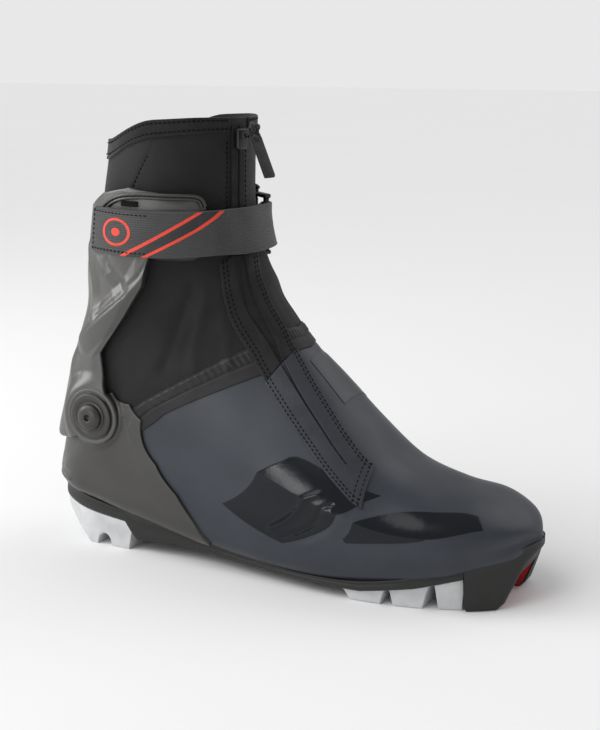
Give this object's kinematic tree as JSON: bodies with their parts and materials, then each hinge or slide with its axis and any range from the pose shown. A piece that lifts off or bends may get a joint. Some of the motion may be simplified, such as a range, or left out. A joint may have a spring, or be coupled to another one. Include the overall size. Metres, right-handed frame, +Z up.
{
  "type": "cross country ski boot",
  "caption": "High skate ski boot with a hinged cuff, zipped softshell gaiter, heel counter, strap, treaded sole and steel toe bar.",
  "frame": {"origin": "on the ground plane, under the middle of the bounding box", "axes": "+X to the toe, +Y to the medial side of a right boot, +Z up"},
  "size_m": [0.294, 0.0984, 0.2456],
  "materials": {
    "sole_rubber": "moulded matte rubber",
    "tread_rubber": "moulded matte rubber",
    "steel": "ground",
    "toe_lining": "moulded",
    "board": "pressed board",
    "insole_foam": "brushed fabric on foam",
    "liner_textile": "brushed knit over foam",
    "coated_softshell": "polyurethane coated fabric",
    "gloss_film": "gloss film",
    "band_film": "welded film with ribs",
    "zip_tape": "woven tape with moulded coil",
    "facing_tape": "stitched coated tape",
    "counter_plastic": "satin moulded",
    "screw_plastic": "satin moulded",
    "softshell": "stretch twill softshell",
    "cuff_plastic": "satin moulded",
    "trim_plastic": "satin moulded",
    "webbing": "ribbed webbing",
    "hook_fastener": "moulded hooks",
    "slider_metal": "black enamel"
  },
  "bodies": {
    "boot": {"outsole": "sole_rubber", "heel_tread": "tread_rubber", "ball_lug_rear": "tread_rubber", "ball_lug_mid": "tread_rubber", "ball_lug_front": "tread_rubber", "toe_bar": "steel", "toe_insert": "toe_lining", "lasting_board": "board", "insole": "insole_foam", "liner_foot": "liner_textile", "forefoot_shell": "coated_softshell", "film_side": "gloss_film", "film_toe": "gloss_film", "film_instep": "gloss_film", "film_medial": "gloss_film", "ankle_band": "band_film", "zip_facing": "facing_tape", "zip_foot": "zip_tape", "heel_counter": "counter_plastic", "pivot_screw_lateral": "screw_plastic", "pivot_screw_medial": "screw_plastic", "pivot_nut_lateral": "steel", "pivot_nut_medial": "steel", "ankle_softshell": "softshell", "liner_ankle": "liner_textile", "zip_ankle": "zip_tape"},
    "cuff": {"cuff": "cuff_plastic", "pivot_washer_lateral": "screw_plastic", "pivot_washer_medial": "screw_plastic", "cuff_trim_lateral": "trim_plastic", "cuff_trim_medial": "trim_plastic", "cuff_pad_lateral": "liner_textile", "cuff_pad_medial": "liner_textile", "leg_softshell": "softshell", "leg_hem": "softshell", "liner_leg": "liner_textile", "zip_leg": "zip_tape", "hook_patch": "hook_fastener", "strap_base": "webbing", "strap_rivets": "steel", "strap_loop": "cuff_plastic"},
    "strap": {"strap": "webbing"},
    "zip_slider": {"zip_slider": "slider_metal"},
    "zip_pull": {"zip_pull": "webbing"}
  },
  "joints": [
    {"name": "cuff_lean", "type": "hinge", "parent": "boot", "child": "cuff", "pos_m": [-0.105, 0, 0.08], "axis": [0, 1, 0], "range_deg": [-3, 18], "stiffness_Nm_per_rad": 4, "deforming": ["ankle_softshell", "liner_ankle", "zip_ankle"]},
    {"name": "strap_swing", "type": "hinge", "parent": "cuff", "child": "strap", "pos_m": [-0.02708, 0.0243, 0.18702], "axis": [0, 0, 1], "range_deg": [0, 75]},
    {"name": "zip_slide", "type": "slide", "parent": "cuff", "child": "zip_slider", "axis": [0, 0, -1], "range_m": [0, 0.024]},
    {"name": "pull_lift", "type": "hinge", "parent": "zip_slider", "child": "zip_pull", "pos_m": [-0.02012, -0.01137, 0.23799], "axis": [-0.2783, -0.9605, 0], "range_deg": [0, 55]}
  ]
}
